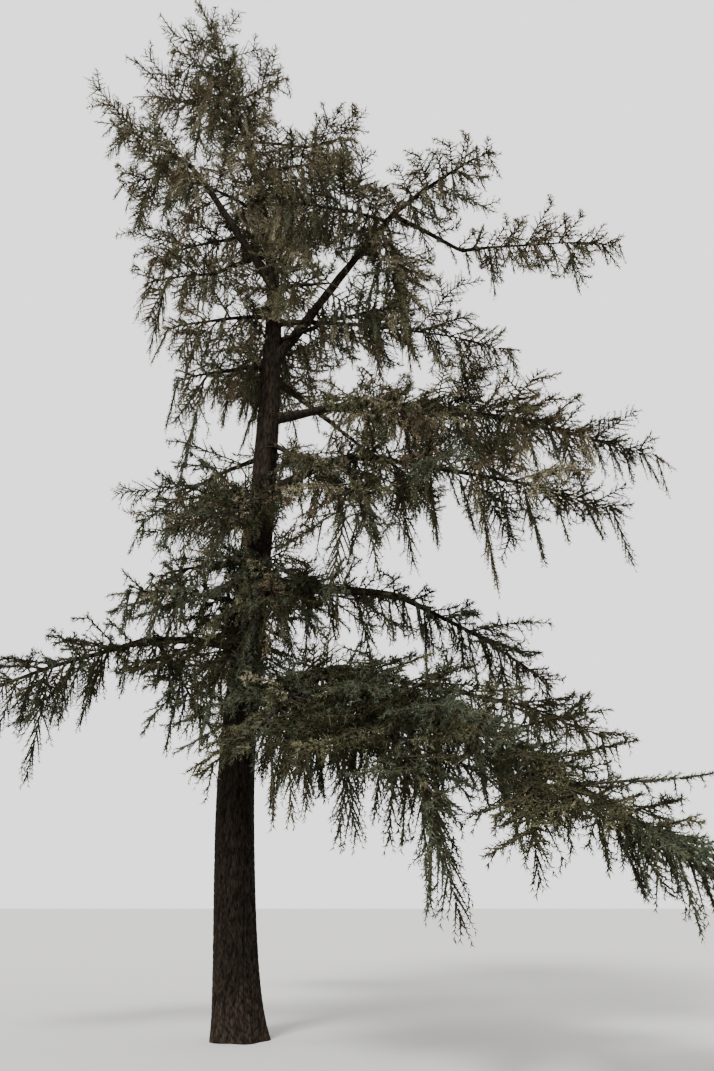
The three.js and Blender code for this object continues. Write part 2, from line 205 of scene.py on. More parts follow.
def trunk_at(height):
    """The trunk's centre and radius at one height or at many."""
    stations, values = STATIONS[:, 0], STATIONS[:, 1:]
    slopes = np.gradient(values, stations, axis=0)
    height = np.asarray(height, float)
    i = np.clip(np.searchsorted(stations, height, side="right") - 1, 0, len(stations) - 2)
    span = (stations[i + 1] - stations[i])[..., None]
    t = ((height - stations[i]) / span[..., 0])[..., None]
    start = (1 + 2 * t) * (1 - t) ** 2 * values[i] + t * (1 - t) ** 2 * span * slopes[i]
    end = t**2 * (3 - 2 * t) * values[i + 1] + t**2 * (t - 1) * span * slopes[i + 1]
    lean, radius = np.moveaxis(start + end, -1, 0)
    return np.stack([lean, np.zeros_like(lean), height], axis=-1), radius


print("radius at breast height: %.2f m" % trunk_at(BREAST_HEIGHT)[1])

# %% [markdown]
# ## The boughs' lines
#
# Each bough grows from its foot: a height on the trunk, or the tip of the bough that it names. Its heading
# is counted from the picture's right away from the camera, its pitch is above level, and girth and tip are
# radii. Boughs could be drawn one by one in the view, but a table keeps all thirteen in sight together.

# %% Boughs, in metres and degrees
Bough = namedtuple("Bough", "foot heading pitch length sag girth tip")
BOUGHS = {
    "low_right": Bough(4.55, -44, 9, 2.35, 0.12, 0.1, 0.066),
    "mid_right": Bough(6.6, 9, 3, 2.6, 0.08, 0.084, 0.056),
    "centre_right": Bough(8.3, -31, 19, 1.95, 0.18, 0.084, 0.06),
    "plateau": Bough(10.0, -9, 10, 1.9, 0.08, 0.084, 0.062),
    "great_right": Bough(11.35, -13, 56, 4.6, 0.04, 0.098, 0.062),
    "great_arm": Bough("great_right", 0, -37, 1.8, 0.0, 0.046, 0.036),
    "under_right": Bough(12.4, 15, 20, 1.7, 0.12, 0.058, 0.042),
    "back_right": Bough(11.0, 52, 4, 2.3, 0.1, 0.066, 0.044),
    "top_right": Bough(18.1, 4, 2, 1.45, 0.1, 0.034, 0.025),
    "upper_left": Bough(13.5, -166, 58, 3.75, 0.03, 0.092, 0.058),
    "left": Bough(14.4, 168, -8, 1.3, 0.12, 0.05, 0.038),
    "low_left": Bough(5.45, -165, 5, 1.6, 0.08, 0.074, 0.05),
    "back_low": Bough(5.9, 98, 8, 2.0, 0.1, 0.08, 0.054),
}
STEM_ROOT = 0.99

bough_lines = {}
for name, bough in BOUGHS.items():
    on_bough = bough.foot in BOUGHS
    start = bough_lines[bough.foot].at(STEM_ROOT) if on_bough else trunk_at(bough.foot)[0]
    bough_lines[name] = Shoot(start, direction(bough.heading, bough.pitch), bough.length, bough.sag)
print("boughs:", len(bough_lines), "of", round(sum(bough.length for bough in BOUGHS.values()), 1), "m in all")

# %% [markdown]
# ## The masses' lines
#
# A mass of needles has one stem, which grows on from a bough's tip or from the trunk, and carries twigs to
# both sides. Spread is how far the twigs reach, and hang is how far their shoots weep. Needles could be
# strewn over the solids instead, but no wood would hold them. Density is read from the photograph. The other
# values are the source's own, so each mass fills the space of its solid.

# %% Masses, in metres and degrees
Mass = namedtuple("Mass", "foot heading pitch length spread density hang", defaults=(None,))
MASSES = {
    "tip": Mass(TRUNK_TOP, 180, 78, 2.1, 1.6, 0.85, 0.85),
    "spire_left": Mass(20.1, -169, 43, 2.05, 1.2, 0.5),
    "spire_right": Mass(19.5, -13, 30, 1.6, 1.2, 1),
    "top_left": Mass(18.9, 173, 35, 3.0, 1.6, 1.2),
    "top_front": Mass(18.3, -105, -8, 2.0, 1.6, 1),
    "top_right": Mass("top_right", 12, 34, 1.5, 1.35, 1.3),
    "top_under": Mass(16.9, -22, -7, 2.4, 1.45, 3.0),
    "upper_left_far": Mass("upper_left", 176, 44, 3.0, 1.6, 1),
    "upper_left_low": Mass("upper_left", -176, -9, 1.6, 1.5, 1.4),
    "upper_left_front": Mass(15.6, -124, -21, 2.5, 1.7, 1.5),
    "left_upper": Mass(15.0, 161, 13, 3.2, 1.6, 1.9),
    "left": Mass("left", 179, -1, 1.5, 1.45, 1.2, 1.55),
    "left_mid": Mass(12.6, -165, -13, 2.2, 1.45, 1.5, 1.55),
    "left_curtain": Mass(11.3, -166, -13, 1.9, 1.5, 1.2, 2.05),
    "left_rising": Mass(7.5, -155, 35, 1.8, 1.1, 0.4),
    "left_low": Mass(7.0, -175, -3, 1.8, 1.3, 0.6, 1.5),
    "left_inner": Mass(6.2, -138, -1, 2.3, 1.3, 1.6, 1.5),
    "low_left_arm": Mass("low_left", -171, -18, 3.7, 1.5, 1.8, 1.5),
    "low_left_fall": Mass("low_left", -40, -42, 1.9, 1.15, 1.5),
    "front_high": Mass(13.3, -56, -31, 3.2, 2.0, 1.1),
    "front_mid": Mass(9.5, -40, -37, 2.7, 1.45, 1.6, 1.5),
    "front_left": Mass(8.5, -106, -41, 2.2, 1.6, 2.5),
    "front_low_right": Mass(7.2, -72, -37, 2.6, 1.6, 2.5),
    "front_low_left": Mass(6.1, -96, -41, 2.2, 1.55, 2.5),
    "great_crown": Mass("great_right", -47, -2, 2.6, 1.3, 2.0, 1.5),
    "great_inner": Mass("great_right", -152, -10, 2.6, 1.7, 3.0, 1.7),
    "great_drop": Mass("great_right", -70, -74, 2.9, 1.3, 2.2, 1.55),
    "great_arm": Mass("great_arm", -4, 7, 3.4, 1.05, 2.3),
    "under_right": Mass("under_right", 8, 3, 3.7, 1.65, 1.4),
    "inner_right": Mass(11.9, -30, 1, 3.0, 1.65, 2.0),
    "plateau_outer": Mass("plateau", -5, -8, 5.5, 1.7, 1.5),
    "plateau_drop": Mass("plateau", -24, -16, 4.3, 1.6, 0.7, 1.7),
    "plateau_inner": Mass("plateau", -62, -31, 2.9, 1.6, 1.3),
    "centre_outer": Mass("centre_right", -20, -16, 4.5, 1.85, 1),
    "centre_cascade": Mass("centre_right", -76, -50, 2.7, 1.85, 1),
    "mid_outer": Mass("mid_right", 6, -24, 2.9, 1.5, 1.2),
    "mid_inner": Mass(6.3, -26, -1, 2.9, 1.45, 1.5, 1.3),
    "low_right_fall": Mass("low_right", -32, -26, 5.5, 2.05, 2.1, 1.3),
    "low_middle_fall": Mass("low_right", -66, -33, 3.3, 1.55, 2.6),
    "low_front_fall": Mass("low_right", -124, -31, 2.2, 1.6, 2.6),
    "low_right_arm": Mass("low_right", 17, 0, 4.7, 1.25, 1),
    "back_right": Mass("back_right", 46, -7, 3.3, 1.85, 1.3, 1.3),
    "back_low": Mass("back_low", 98, -13, 3.5, 1.95, 1.3, 1.3),
    "back_left": Mass(9.2, 138, 8, 4.2, 1.85, 0.6),
    "back_mid": Mass(12.2, 98, 16, 4.0, 1.85, 2.2),
    "back_top": Mass(16.2, 70, 26, 3.2, 1.7, 2.4),
}
print("masses:", len(MASSES), "and on boughs:", sum(mass.foot in BOUGHS for mass in MASSES.values()))

# %% Stems of the masses
STEM_STEP_BACK = 0.05
STEM_SAG = 0.14
ONWARD_GIRTH = 0.85
BRANCHED_GIRTH = 0.62
STEM_RADII = (0.022, 0.05)

carried = {name: 0 for name in BOUGHS}
stems = []
for mass in MASSES.values():
    if mass.foot in BOUGHS:
        start = bough_lines[mass.foot].at(STEM_ROOT - STEM_STEP_BACK * carried[mass.foot])
        wanted = BOUGHS[mass.foot].tip * (BRANCHED_GIRTH if carried[mass.foot] else ONWARD_GIRTH)
        carried[mass.foot] += 1
    else:
        start, radius = trunk_at(mass.foot)
        wanted = radius * BRANCHED_GIRTH
    sag = STEM_SAG * math.cos(math.radians(mass.pitch))
    stem = Shoot(start, direction(mass.heading, mass.pitch), mass.length, sag)
    stem.radius = float(np.clip(wanted, *STEM_RADII))
    stems.append(stem)
print("stems: %d, the thickest of %.3f m radius" % (len(stems), max(stem.radius for stem in stems)))

# %% [markdown]
# ## Bark
#
# Old cedar bark breaks into small upright plates with dark fissures between them. A bump in the material
# would leave the outline smooth, so the plates are real relief. Seeds are strewn one to a cell over the
# skin, and a point half way between its two nearest seeds lies in a fissure. The mesh keeps the depth as an
# attribute, so that the paint can darken the fissures as painted shade and light the crests as a painted
# highlight.

# %% Where the fissures run
STREW = (127.1, 311.7, 74.7)
STREW_SCALE = 43758.5453
SEED_MARGIN = 0.15
PLATE_STRETCH = 0.75
FISSURE_WIDTH = 0.42
FISSURE_EDGE = 1.4
FAR = 9.0


def strewn(column, row, salt):
    """A repeatable number from 0 to 1 for each cell."""
    cell = column * STREW[0] + row * STREW[1] + salt * STREW[2]
    return np.modf(np.abs(np.sin(cell)) * STREW_SCALE)[0]


def fissures(turn, along, columns):
    """0 on a plate and 1 in a fissure, for points at a share of the turn and a number of cells along."""
    x, y = turn * columns, along
    nearest = np.full(x.shape, FAR)
    second = np.full(x.shape, FAR)
    for dx in (-1, 0, 1):
        for dy in (-1, 0, 1):
            column = np.floor(x) + dx
            wrapped = np.mod(column, columns)
            shift = strewn(wrapped, 0, 3)
            row = np.floor(y - shift) + dy
            across = column + SEED_MARGIN + (1 - 2 * SEED_MARGIN) * strewn(wrapped, row, 1) - x
            away = np.hypot(across, PLATE_STRETCH * (row + shift + strewn(wrapped, row, 2) - y))
            second = np.minimum(second, np.maximum(nearest, away))
            nearest = np.minimum(nearest, away)
    return np.clip(1 - (second - nearest) / FISSURE_WIDTH, 0, 1) ** FISSURE_EDGE


patch = fissures(*np.meshgrid(np.linspace(0, 1, 300), np.linspace(0, 20, 300)), 20)
print("a fissure's deeper half takes %.0f%% of the bark" % (100 * np.mean(patch > 0.5)))

# %% [markdown]
# ## A limb with bark
#
# A limb is long and round with closed ends, so it starts as a cylinder whose long edges are cut many times.
# Each vertex then moves to its place: its turn round the axis and its share of the length say where. A curve
# with a bevel would be round too, but without relief. This way keeps the mesh closed and even.


# %% From a cylinder to a limb
def bark_limb(name, sides, rings, place):
    """A limb whose place function gives points and fissure depths for shares of the length and turn."""
    bm = bmesh.new()
    bmesh.ops.create_cone(bm, cap_ends=True, segments=sides, radius1=1, radius2=1, depth=1)
    upright = [e for e in bm.edges if abs(e.verts[0].co.z - e.verts[1].co.z) > 0.5]
    bmesh.ops.subdivide_edges(bm, edges=upright, cuts=rings - 1, use_grid_fill=False)
    mesh = bpy.data.meshes.new(name)
    bm.to_mesh(mesh)
    bm.free()
    co = np.empty(len(mesh.vertices) * 3, np.float32)
    mesh.vertices.foreach_get("co", co)
    co = co.reshape(-1, 3).astype(float)
    turn = np.mod(np.arctan2(co[:, 1], co[:, 0]) / (2 * math.pi), 1)
    points, depth = place(co[:, 2] + 0.5, turn)
    mesh.vertices.foreach_set("co", points.astype(np.float32).ravel())
    mesh.attributes.new("fissure", "FLOAT", "POINT").data.foreach_set("value", depth.astype(np.float32))
    mesh.polygons.foreach_set("use_smooth", np.array([p.loop_total < 5 for p in mesh.polygons]))
    mesh.update()
    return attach(placed(name, mesh), "root")


# %% [markdown]
# ## The trunk
#
# The foot spreads in five low buttresses. They could be forms of their own, but a wave round the trunk that
# dies away upwards leaves nothing to join. The rings stand closer together there, where the bark is seen
# from near.

# %% Trunk
PLATE_WIDTH = 0.032
PLATE_HEIGHT = 0.09
FISSURE_DEPTH = 0.011
PLATE_RISE = 0.3
WANDER, WANDER_SWING = 0.25, 6
WANDER_RATES = (1.7, 0.4)
ROOT_FLARE = 0.074
FLARE_HEIGHT = 0.34
BUTTRESSES = 5
BUTTRESS_DEPTH = 0.4
BUTTRESS_TURN = 0.4
FLARE_TO_RIGHT = 0.25
SWELLS = ((0.012, 3, 1.1), (0.008, 7, -0.7))  # depth, count round the trunk, turn for each metre up
SMOOTH_FOOT = 0.05
TRUNK_SIDES = 240
TRUNK_RINGS = 395
RINGS_TO_FOOT = 1.9


def trunk_place(share, turn):
    height = TRUNK_TOP * share**RINGS_TO_FOOT
    centre, radius = trunk_at(height)
    angle = -turn * 2 * math.pi
    lobes = BUTTRESS_DEPTH * np.cos(BUTTRESSES * angle + BUTTRESS_TURN) + FLARE_TO_RIGHT * np.cos(angle)
    flare = ROOT_FLARE * np.exp(-height / FLARE_HEIGHT) * (1 + lobes)
    columns = round(2 * math.pi * FOOT_RADIUS / PLATE_WIDTH)
    swing = WANDER_SWING * np.sin(height * WANDER_RATES[1])
    wander = WANDER * np.sin(height * WANDER_RATES[0] + swing)
    depth = fissures(np.mod(turn + wander / columns, 1), height / PLATE_HEIGHT, columns)
    girth = radius / FOOT_RADIUS
    swell = sum(deep * np.sin(count * angle + height * rate) for deep, count, rate in SWELLS)
    relief = FISSURE_DEPTH * girth * (depth - PLATE_RISE) * np.clip(height / SMOOTH_FOOT, 0, 1)
    reach = radius + flare + swell * girth - relief
    side = np.stack([np.cos(angle), -np.sin(angle), np.zeros_like(angle)], axis=-1)
    return centre + side * reach[:, None], depth


trunk = bark_limb("trunk_bark", TRUNK_SIDES, TRUNK_RINGS, trunk_place)
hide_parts("trunk")
print("trunk:", len(trunk.data.vertices), "vertices")

# %% [markdown]
# ## The boughs
#
# A bough swells into a collar where it leaves its carrier, and narrows to a rounded end inside the needles.
# No limb is turned on a lathe, so its section is uneven and its axis waves. It could be sculpted, but sines
# give it in the same step that places the bark, and every bough is one call.

# %% Where a bough's skin lies
END_SHARES = (0.94, 0.99, 1)
END_GIRTHS = (0.7, 0.3)
COLLAR_REACH = 6
BUMPS = ((0.05, 2, 5, 1), (0.04, 3, -9, 2))  # depth, count round the limb, turn for each metre, key's share
WAVE = 0.03


def limb_place(line, radii, columns, plate_height, fissure_depth, collar, key):
    """The place function of a limb on a line, with its radii at the foot and at the tip."""
    side = unit(np.cross(line.heading, UP))
    girths = (radii[0], mix(*radii, END_SHARES[0]), *(radii[1] * girth for girth in END_GIRTHS))

    def place(share, turn):
        along = share[:, None]
        above = np.cross(line.tangent(along), side)
        radius = np.interp(share, (0, *END_SHARES), girths)
        distance = share * line.length
        radius = radius * (1 + collar * np.exp(-distance / (COLLAR_REACH * radii[0])))
        depth = fissures(turn, distance / plate_height + key, columns)
        angle = turn * 2 * math.pi
        bumps = sum(deep * np.sin(count * angle + rate * distance + part * key)
                    for deep, count, rate, part in BUMPS)
        relief = fissure_depth * (depth - PLATE_RISE) * radius / radii[0]
        reach = (radius * (1 + bumps) - relief)[:, None]
        skin = side * np.cos(angle)[:, None] + above * np.sin(angle)[:, None]
        wave = WAVE * line.length * np.sin(2 * math.pi * share + key) * share * (1 - share)
        return line.at(along) + UP * wave[:, None] + skin * reach, depth

    return place


# %% Boughs
BOUGH_BARK = dict(columns=14, plate_height=0.07, fissure_depth=0.007, collar=0.5)
BOUGH_SIDES = 36
BOUGH_RING_STEP = 0.03

for key, (name, line) in enumerate(bough_lines.items()):
    place = limb_place(line, (BOUGHS[name].girth, BOUGHS[name].tip), key=key, **BOUGH_BARK)
    piece = bark_limb("bough_%s_bark" % name, BOUGH_SIDES, round(line.length / BOUGH_RING_STEP), place)
    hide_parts("bough_" + name)
print("boughs dressed:", len(bough_lines))

# %% [markdown]
# ## The stems
#
# Inside each mass a stem carries on from its limb, a dark line through the needles. It is a thinner bough,
# so the same functions make it, with fewer sides and finer plates. It takes the place of the whole solid
# mass, and ends a little short of it, where only shoots are.

# %% Stems
STEM_BARK = dict(columns=8, plate_height=0.05, fissure_depth=0.003, collar=0.4)
STEM_SIDES = 12
STEM_RING_STEP = 0.05
STEM_END = 0.86
STEM_TIP = 0.34

for key, (name, stem) in enumerate(zip(MASSES, stems)):
    line = Shoot(stem.start, stem.heading, stem.length * STEM_END, stem.sag * STEM_END)
    place = limb_place(line, (stem.radius, stem.radius * STEM_TIP), key=key, **STEM_BARK)
    piece = bark_limb("stem_%s_bark" % name, STEM_SIDES, round(line.length / STEM_RING_STEP), place)
    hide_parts("foliage_" + name)
print("stems dressed:", len(stems))

# %% [markdown]
# ## Twigs
#
# Twigs leave a stem to both sides by turns, some lifted, and point more forward towards its end. The source
# gives each mass only a few, to keep its solids light. They come first, by its own rule, and two more rows
# fill in: one along the whole stem, and one near its foot. Twigs strewn at random would be easier, but would
# clump.

# %% Twigs of a mass
TWIG_SPACING = 1.15
TWIG_SAG = 0.12
TWIG_ROWS = ((0.16, 0.64), (0.08, 0.95), (0.02, 0.5))  # shares of the stem for the source's row and two more
ROW_TIMES = (1, 2, 1)
KEYS_APART = 50
LIFTED_EVERY = 5
LIFTED_LEVEL = 40
LIFTED_REACH = 0.7
TWIG_LEVELS = (72, 112)
TWIG_ANGLES = (74, 44)
ANGLE_CHANCE = 6
REACH_CHANCE = (0.85, 1.1)
FILLING_CHANCE = (0.6, 0.95)
FADE_END, FADE_SPAN = 1.05, 0.4
UPRIGHT_PITCH = 60
GOLDEN_ANGLE = 137.5
ROW_TURN = 60


def twig_shares(mass, row):
    """Where twigs leave a stem. Row 0 is the source's own, and 1 and 2 fill in."""
    count = max(2, round(mass.length / TWIG_SPACING))
    if row:
        count = round((ROW_TIMES[row] * count + 2) * mass.density)
    return [mix(*TWIG_ROWS[row], i / (count - 1)) for i in range(count)]


def crown_shape(share):
    """Twigs reach half as far at the stem's foot as past its middle."""
    return 0.5 + 0.5 * math.sin(math.pi * share**0.8)


def twigs_of(mass, index, stem, row):
    """The twigs of one row of a mass, each with its keys for chance."""
    across = unit(np.cross(stem.heading, UP))
    twigs = []
    for i, share in enumerate(twig_shares(mass, row)):
        keys = (index, i + KEYS_APART * row)
        tangent = stem.tangent(share)
        above = np.cross(across, tangent)
        lifted = i % LIFTED_EVERY == LIFTED_EVERY - 1 - row
        level = LIFTED_LEVEL if lifted else between(*TWIG_LEVELS, *keys, 1)
        side = 1 if (i + row) % 2 else -1
        turn = i * GOLDEN_ANGLE + ROW_TURN * row if mass.pitch > UPRIGHT_PITCH else level * side
        turn = math.radians(turn)
        angle = math.radians(mix(*TWIG_ANGLES, share) + between(-ANGLE_CHANCE, ANGLE_CHANCE, *keys, 2))
        heading = math.cos(angle) * tangent
        heading = heading + math.sin(angle) * (math.sin(turn) * across + math.cos(turn) * above)
        reach = mass.spread * crown_shape(share) * between(*REACH_CHANCE, *keys, 3)
        reach *= LIFTED_REACH if lifted else 1
        if row:
            reach *= between(*FILLING_CHANCE, *keys, 8) * min(1, (FADE_END - share) / FADE_SPAN)
        twigs.append((Shoot(stem.at(share), unit(heading), reach, TWIG_SAG), keys))
    return twigs


print("twigs of the topmost mass:", [len(twig_shares(MASSES["tip"], row)) for row in range(3)])

# %% [markdown]
# ## Within reach, and clear of bare wood
#
# The dressed tree keeps within its solids' reach, so the plumes, the side shoots and the finer shoots are
# tested against their box. The photograph also shows bare wood: the trunk's foot, the trunk at mid height,
# and two rising boughs. Sprays could be picked off there by hand, but each change of the crown would undo
# that.
# So points along that wood are watched from the eye, and what would stand in the line of sight is left out.

# %% The solids' reach, and wood that shows bare
BARE_BOUGHS = {"great_right": 0.64, "upper_left": 0.72}  # shares of the bough up to which it shows
BARE_TRUNK = ((0.0, 3.1), (9.2, 12.2))
BARE_FROM = 0.04
BOUGH_POINTS, TRUNK_POINTS = 22, 16
CLEARANCE = 0.05

watched = []
for name, last in BARE_BOUGHS.items():
    clearing = BOUGHS[name].girth + CLEARANCE
    shares = np.linspace(BARE_FROM, last, BOUGH_POINTS)
    watched += [(*bough_lines[name].at(share), clearing) for share in shares]
for low, high in BARE_TRUNK:
    for point, radius in zip(*trunk_at(np.linspace(low, high, TRUNK_POINTS))):
        watched.append((*point, radius + CLEARANCE))
watched = np.array(watched)
clearings = watched[:, 3]
sights = watched[:, :3] - EYE
sight_length = np.linalg.norm(sights, axis=1)
sights = unit(sights)


def outside(points, margin=0.02):
    """True where a point lies further out than the solids' box and a margin."""
    low, high = (np.array(corner) for corner in cad_box)
    return np.any((points < low - margin) | (points > high + margin), axis=1)


def hides_wood(points):
    """True where a point stands between the eye and wood that shows bare."""
    along = (points - EYE) @ sights.T
    aside = np.linalg.norm((points - EYE)[:, None] - along[..., None] * sights, axis=2)
    return np.any((aside < clearings) & (along < sight_length - CLEARANCE), axis=1)


print("points watched:", len(watched))

# %% [markdown]
# ## Plumes
#
# The sprays of an old cedar are plumes: a thin axis with shoots to both sides, longest near its foot. As in
# the source, a twig holds two: one carries it on, and one weeps. Short ones hide the limbs where the
# photograph shows needles. A plume could be an object at once, but as rows of numbers all can grow together,
# in seconds.

# %% A plume as a row
SHORTER = (1, 0.85, 0.7, 0.55)
PLUME_MARGIN = 0.1
PLUME_SHARES = np.linspace(0.2, 1, 5)
plume_rows = []


def add_plume(root, heading, facing, length, weeping):
    """One plume, shortened until it is within reach and hides no bare wood, or left out."""
    for share in SHORTER:
        points = root + np.outer(PLUME_SHARES * length * share, heading)
        if not (outside(points, PLUME_MARGIN).any() or hides_wood(points).any()):
            facing = facing - heading * np.dot(facing, heading)
            plume_rows.append((*root, *unit(heading), *unit(facing), length * share, weeping))
            return


# %% Plumes of the masses
TWIG_SHARE = 0.26
SPRAY_ROOT = 0.16
LEADING_SHARE = 0.72
LEADING_FACE = np.array((0.1, 0.2, 1))
ROLL = 0.45
WEEPING_TURN = 1.2
WEEPING_ROOT = 0.6
WEEPING_LEAN = 0.3
HANG_SHARE = 0.9
LONGER_FALL = {"low_front_fall": 1.75, "low_middle_fall": 1.3, "low_right_fall": 1.1}
FALL_CHANCE = (0.8, 1.1)
FILLING_FALL = 0.55
WOOD_SHARE = 0.5
twig_rows = []

for index, ((name, mass), stem) in enumerate(zip(MASSES.items(), stems)):
    hang = (mass.hang or mass.spread * HANG_SHARE) * LONGER_FALL.get(name, 1)
    for row in range(len(TWIG_ROWS)):
        for twig, keys in twigs_of(mass, index, stem, row):
            line = twig.tangent(TWIG_SHARE)
            root_share = TWIG_SHARE * (1 - SPRAY_ROOT)
            roll = np.array((between(-ROLL, ROLL, *keys, 4), between(-ROLL, ROLL, *keys, 5), 1))
            add_plume(twig.at(root_share), line, roll, twig.length * (1 - root_share), 0)
            turn = between(-WEEPING_TURN, WEEPING_TURN, *keys, 6)
            level = unit(np.cross(line, UP))
            across = level * math.cos(turn) + np.cross(UP, level) * math.sin(turn)
            fall = hang * between(*FALL_CHANCE, *keys, 7) * (FILLING_FALL if row else 1)
            falling_line = unit(line * WEEPING_LEAN - UP)
            add_plume(twig.at(TWIG_SHARE * WEEPING_ROOT), falling_line, across, fall, 1)
            wood = (twig.length * WOOD_SHARE, TWIG_SAG * WOOD_SHARE, stem.radius)
            twig_rows.append((*twig.start, *twig.heading, *wood))
    root = stem.at(LEADING_SHARE * (1 - SPRAY_ROOT / 2))
    line = stem.at(1) - root
    add_plume(root, unit(line), LEADING_FACE, np.linalg.norm(line), 0)
twig_rows = np.array(twig_rows)
print("twigs:", len(twig_rows), "plumes so far:", len(plume_rows))

# %% Short plumes along the limbs
LIMB_KEYS, LEADER_KEYS, BOUGH_KEYS = 200, 150, 100
LOW_HEADING = -0.2
LIMB_LEAN, LIMB_REACH = (0.3, 0.9), (0.6, 1.1)
STEM_PLUMES = dict(first=0.04, spacing=0.22, length=0.6)
BOUGH_PLUMES = dict(spacing=0.22, length=0.7)
BARE_SHARE = {"low_right": 0.05, "mid_right": 0.55, "great_right": 0.6, "upper_left": 0.6, "back_right": 0.15}
PLAIN_BARE_SHARE = 0.5
LEADER_STEPS = (5.4, 8.0, 10.4, 12.6, 14.6, 16.6, 18.6, 20.9)
LEADER_PLUME = 1.2
LEADER_SPACINGS = (0.4, 0.13)  # below and above the height from which the leader is dense
DENSE_FROM = 12


def add_limb_plumes(line, first, spacing, length, index):
    """Short plumes all along a limb from its first share on, by turns round it."""
    across = unit(np.cross(line.heading, UP))
    for i in range(int(line.length * (1 - first) / spacing)):
        keys = (index, LIMB_KEYS + i)
        share = first + (i + 0.5) * spacing / line.length
        tangent = line.tangent(share)
        turn = math.radians(GOLDEN_ANGLE * i)
        out = math.sin(turn) * across + math.cos(turn) * np.cross(across, tangent)
        heading = unit(tangent * between(*LIMB_LEAN, *keys, 1) + out)
        low = heading[2] < LOW_HEADING
        reach = length * between(*LIMB_REACH, *keys, 2)
        add_plume(line.at(share), heading, across if low else UP, reach, int(low))


for index, stem in enumerate(stems):
    add_limb_plumes(stem, index=index, **STEM_PLUMES)
for index, (low, high) in enumerate(zip(LEADER_STEPS, LEADER_STEPS[1:])):
    foot, top = trunk_at(low)[0], trunk_at(high)[0]
    leader = Shoot(foot, unit(top - foot), float(np.linalg.norm(top - foot)), 0.0)
    add_limb_plumes(leader, 0.0, LEADER_SPACINGS[low > DENSE_FROM], LEADER_PLUME, LEADER_KEYS + index)
for index, (name, line) in enumerate(bough_lines.items()):
    first = BARE_SHARE.get(name, PLAIN_BARE_SHARE)
    add_limb_plumes(line, first, index=BOUGH_KEYS + index, **BOUGH_PLUMES)
plume_rows = np.array(plume_rows)
print("plumes:", len(plume_rows))

# %% [markdown]
# ## Shoots
#
# From here on the counts are in the thousands. Particles could scatter shoots, but the export keeps none,
# and they would not know which side of a plume is up. So each generation is one set of arrays, and grows in
# one step. A shoot sags like everything else, and many bend up again at their tips, towards the light.


# %% A generation of shoots
class Shoots:
    """Many shoots at once: each value is an array with one entry for each shoot."""

    def __init__(self, start, heading, face, length, sag, lift, radius, spray):
        self.start, self.heading, self.face, self.length = start, heading, face, length
        self.sag, self.lift, self.radius, self.spray = sag, lift, radius, spray

    def __len__(self):
        return len(self.length)

    def at(self, share):
        share = np.broadcast_to(share, self.length.shape)
        rise = self.length * (self.lift * share**3 - self.sag * share**2)
        return self.start + self.heading * (self.length * share)[:, None] + UP * rise[:, None]

    def tangent(self, share):
        share = np.broadcast_to(share, self.length.shape)
        return unit(self.heading + UP * (3 * self.lift * share**2 - 2 * self.sag * share)[:, None])

    def take(self, chosen):
        return Shoots(*(value[chosen] for value in vars(self).values()))


def together(parts):
    return Shoots(*(np.concatenate([vars(p)[key] for p in parts]) for key in vars(parts[0])))


# %% The plumes' axes
AXIS_SHARE = 0.94
AXIS_RADIUS = 0.016

rng = np.random.default_rng(SEED)
weeping = plume_rows[:, 10] > 0
plumes = Shoots(
    start=plume_rows[:, 0:3],
    heading=plume_rows[:, 3:6],
    face=plume_rows[:, 6:9],
    length=plume_rows[:, 9] * AXIS_SHARE,
    sag=np.where(weeping, 0.02, 0.1),
    lift=np.where(weeping, 0.0, 0.07),
    radius=np.full(len(plume_rows), AXIS_RADIUS),
    spray=np.arange(len(plume_rows)),
)
print("plume axes: %.0f m" % plumes.length.sum())

# %% Shoots to both sides
STEP_CHANCE = 0.3
SIDE_ANGLE_CHANCE = 9
SIZE_CHANCE = (0.65, 1.1)
FACE_CHANCE = 0.25


def side_shoots(every, spacing, fewest, first, last, angles, reach, sag, lift, radius, droop=0.0, flat=0.35):
    """Shoots by turns to each side, spaced evenly: their angle and their reach go from foot to tip."""
    made = []
    counts = np.maximum(fewest, np.round(every.length * (last - first) / spacing)).astype(int)
    for i in range(counts.max()):
        parent, count = every.take(counts > i), counts[counts > i]
        n = len(parent)
        step = (i + rng.uniform(-STEP_CHANCE, STEP_CHANCE, n)) / np.maximum(count - 1, 1)
        share = np.clip(mix(first, last, step), 0.02, 0.99)
        tangent = parent.tangent(share)
        side = unit(np.cross(tangent, parent.face)) * (1 if i % 2 else -1)
        turned = rng.uniform(-SIDE_ANGLE_CHANCE, SIDE_ANGLE_CHANCE, n)
        angle = np.radians(mix(*angles, share) + turned)[:, None]
        out = side + parent.face * rng.normal(0, flat, n)[:, None]
        heading = unit(np.cos(angle) * tangent + np.sin(angle) * unit(out) - UP * droop)
        size = mix(*reach, share) * (0.8 + 0.2 * np.sin(math.pi * share)) * rng.uniform(*SIZE_CHANCE, n)
        face = unit(parent.face + rng.normal(0, FACE_CHANCE, (n, 3)))
        made.append(Shoots(
            parent.at(share), heading, face, length=parent.length * size, sag=np.full(n, sag),
            lift=lift * rng.uniform(0, 1, n), radius=np.full(n, radius), spray=parent.spray,
        ))
    return together(made)


# %% Forks and branches of the plumes
FORKING_LENGTH = 0.5

